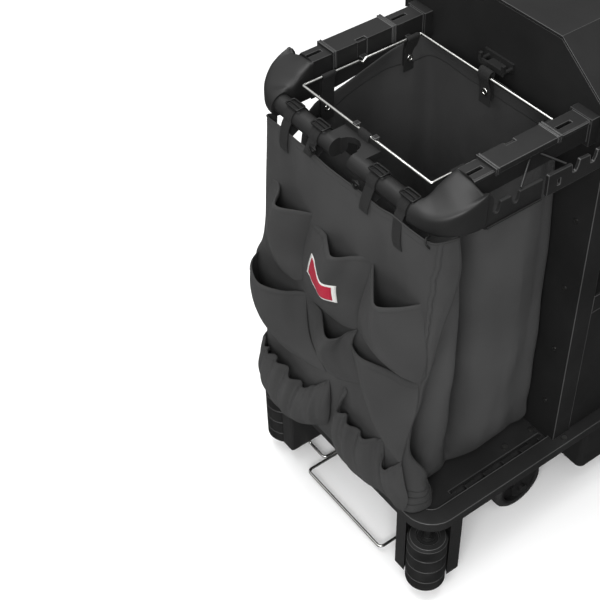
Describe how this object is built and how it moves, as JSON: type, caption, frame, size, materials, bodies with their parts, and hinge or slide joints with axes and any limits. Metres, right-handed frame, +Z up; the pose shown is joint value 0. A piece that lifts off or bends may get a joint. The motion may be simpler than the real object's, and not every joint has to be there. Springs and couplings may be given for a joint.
{
  "type": "housekeeping cart",
  "caption": "Housekeeping cart: hooded shelf cabinet, soft bag hung in a bar frame, pocket organizer over the end handle, corner bumper rollers, swivel casters and a sliding wire rack.",
  "frame": {"origin": "middle of the bounding box in X and Y, at floor level under the wheels", "axes": "+X from the bag end to the push-handle end, +Y away from the cabinet's open side, +Z up"},
  "size_m": [1.115, 0.565, 1.124],
  "materials": {
    "deck_plastic": "moulded, light grain",
    "cabinet_plastic": "moulded, fine grain",
    "frame_plastic": "moulded, satin",
    "shelf_plastic": "moulded, satin",
    "roller_rubber": "satin",
    "chrome_wire": "bright",
    "zinc_steel": "bright zinc",
    "tyre_rubber": "matt",
    "hub_plastic": "moulded",
    "bag_fabric": "coated woven cloth",
    "organizer_fabric": "coated woven cloth",
    "strap_webbing": "ribbed webbing",
    "buckle_plastic": "moulded",
    "pedal_plastic": "moulded",
    "handle_paint": "satin powder coat"
  },
  "bodies": {
    "cart": {"base_deck": "deck_plastic", "corner_housings": "deck_plastic", "roller_bolts": "handle_paint", "caster_channel": "handle_paint", "underbody_box": "cabinet_plastic", "end_panel_bag_side": "cabinet_plastic", "end_panel_handle_side": "cabinet_plastic", "back_panel": "cabinet_plastic", "shelves": "shelf_plastic", "top_tray": "shelf_plastic", "hinge_pins": "zinc_steel", "hood_rear": "cabinet_plastic", "side_rails": "frame_plastic", "rail_sleeves": "frame_plastic", "corner_casting_near": "frame_plastic", "corner_casting_far": "frame_plastic", "tool_ledges": "frame_plastic", "ledge_stays": "handle_paint", "bag_end_handle": "frame_plastic", "ring_hooks": "frame_plastic", "panel_hook": "frame_plastic", "bag_ring": "chrome_wire", "main_bag": "bag_fabric", "bag_straps": "strap_webbing", "organizer_panel": "organizer_fabric", "pockets_upper": "organizer_fabric", "pockets_middle": "organizer_fabric", "pockets_lower": "organizer_fabric", "organizer_straps": "strap_webbing", "strap_buckles": "buckle_plastic", "rack_carrier": "chrome_wire", "rack_guides": "buckle_plastic", "caster_plates": "zinc_steel", "fixed_wheel_brackets": "zinc_steel", "fixed_axle": "zinc_steel", "push_handle_brackets": "frame_plastic", "push_handle_tube": "handle_paint", "screws": "zinc_steel"},
    "roller_front_near": {"bumper_roller_front_near": "roller_rubber"},
    "roller_front_far": {"bumper_roller_front_far": "roller_rubber"},
    "roller_rear_near": {"bumper_roller_rear_near": "roller_rubber"},
    "roller_rear_far": {"bumper_roller_rear_far": "roller_rubber"},
    "caster_near": {"caster_fork_near": "pedal_plastic", "caster_axle_near": "handle_paint"},
    "caster_wheel_near": {"tyre_caster_near": "tyre_rubber", "hub_caster_near": "hub_plastic"},
    "brake_near": {"brake_pedal_near": "pedal_plastic"},
    "fixed_wheel_near": {"tyre_fixed_near": "tyre_rubber", "hub_fixed_near": "hub_plastic"},
    "caster_far": {"caster_fork_far": "pedal_plastic", "caster_axle_far": "handle_paint"},
    "caster_wheel_far": {"tyre_caster_far": "tyre_rubber", "hub_caster_far": "hub_plastic"},
    "brake_far": {"brake_pedal_far": "pedal_plastic"},
    "fixed_wheel_far": {"tyre_fixed_far": "tyre_rubber", "hub_fixed_far": "hub_plastic"},
    "lid": {"hood_lid": "cabinet_plastic"},
    "lock": {"lid_lock": "zinc_steel"},
    "door": {"cabinet_door": "shelf_plastic"},
    "rack": {"wire_rack": "chrome_wire"}
  },
  "joints": [
    {"name": "roller_front_near_spin", "type": "hinge", "parent": "cart", "child": "roller_front_near", "pos_m": [-0.4675, -0.242, 0.1065], "axis": [0, 0, 1], "continuous": true},
    {"name": "roller_front_far_spin", "type": "hinge", "parent": "cart", "child": "roller_front_far", "pos_m": [-0.4675, 0.242, 0.1065], "axis": [0, 0, 1], "continuous": true},
    {"name": "roller_rear_near_spin", "type": "hinge", "parent": "cart", "child": "roller_rear_near", "pos_m": [0.4725, -0.242, 0.1065], "axis": [0, 0, 1], "continuous": true},
    {"name": "roller_rear_far_spin", "type": "hinge", "parent": "cart", "child": "roller_rear_far", "pos_m": [0.4725, 0.242, 0.1065], "axis": [0, 0, 1], "continuous": true},
    {"name": "caster_near_swivel", "type": "hinge", "parent": "cart", "child": "caster_near", "pos_m": [-0.1415, -0.1895, 0.15], "axis": [0, 0, 1], "continuous": true},
    {"name": "caster_near_roll", "type": "hinge", "parent": "caster_near", "child": "caster_wheel_near", "pos_m": [-0.1745, -0.1895, 0.0635], "axis": [0, 1, 0], "continuous": true},
    {"name": "brake_near_press", "type": "hinge", "parent": "caster_near", "child": "brake_near", "pos_m": [-0.1585, -0.1895, 0.137], "axis": [0, -1, 0], "range_deg": [0, 12]},
    {"name": "fixed_near_roll", "type": "hinge", "parent": "cart", "child": "fixed_wheel_near", "pos_m": [0.3055, -0.1895, 0.0635], "axis": [0, 1, 0], "continuous": true},
    {"name": "caster_far_swivel", "type": "hinge", "parent": "cart", "child": "caster_far", "pos_m": [-0.1415, 0.1895, 0.15], "axis": [0, 0, 1], "continuous": true},
    {"name": "caster_far_roll", "type": "hinge", "parent": "caster_far", "child": "caster_wheel_far", "pos_m": [-0.1745, 0.1895, 0.0635], "axis": [0, 1, 0], "continuous": true},
    {"name": "brake_far_press", "type": "hinge", "parent": "caster_far", "child": "brake_far", "pos_m": [-0.1585, 0.1895, 0.137], "axis": [0, -1, 0], "range_deg": [0, 12]},
    {"name": "fixed_far_roll", "type": "hinge", "parent": "cart", "child": "fixed_wheel_far", "pos_m": [0.3055, 0.1895, 0.0635], "axis": [0, 1, 0], "continuous": true},
    {"name": "lid_hinge", "type": "hinge", "parent": "cart", "child": "lid", "pos_m": [0.1585, 0.14, 1.11], "axis": [-1, 0, 0], "range_deg": [0, 100]},
    {"name": "lock_turn", "type": "hinge", "parent": "lid", "child": "lock", "pos_m": [0.1585, -0.252, 1.016], "axis": [0, 1, 0], "range_deg": [0, 90]},
    {"name": "door_hinge", "type": "hinge", "parent": "cart", "child": "door", "pos_m": [0.4115, -0.244, 0.407], "axis": [0, 0, 1], "range_deg": [0, 105]},
    {"name": "rack_slide", "type": "slide", "parent": "cart", "child": "rack", "axis": [-1, 0, 0], "range_m": [-0.04, 0.05]}
  ]
}
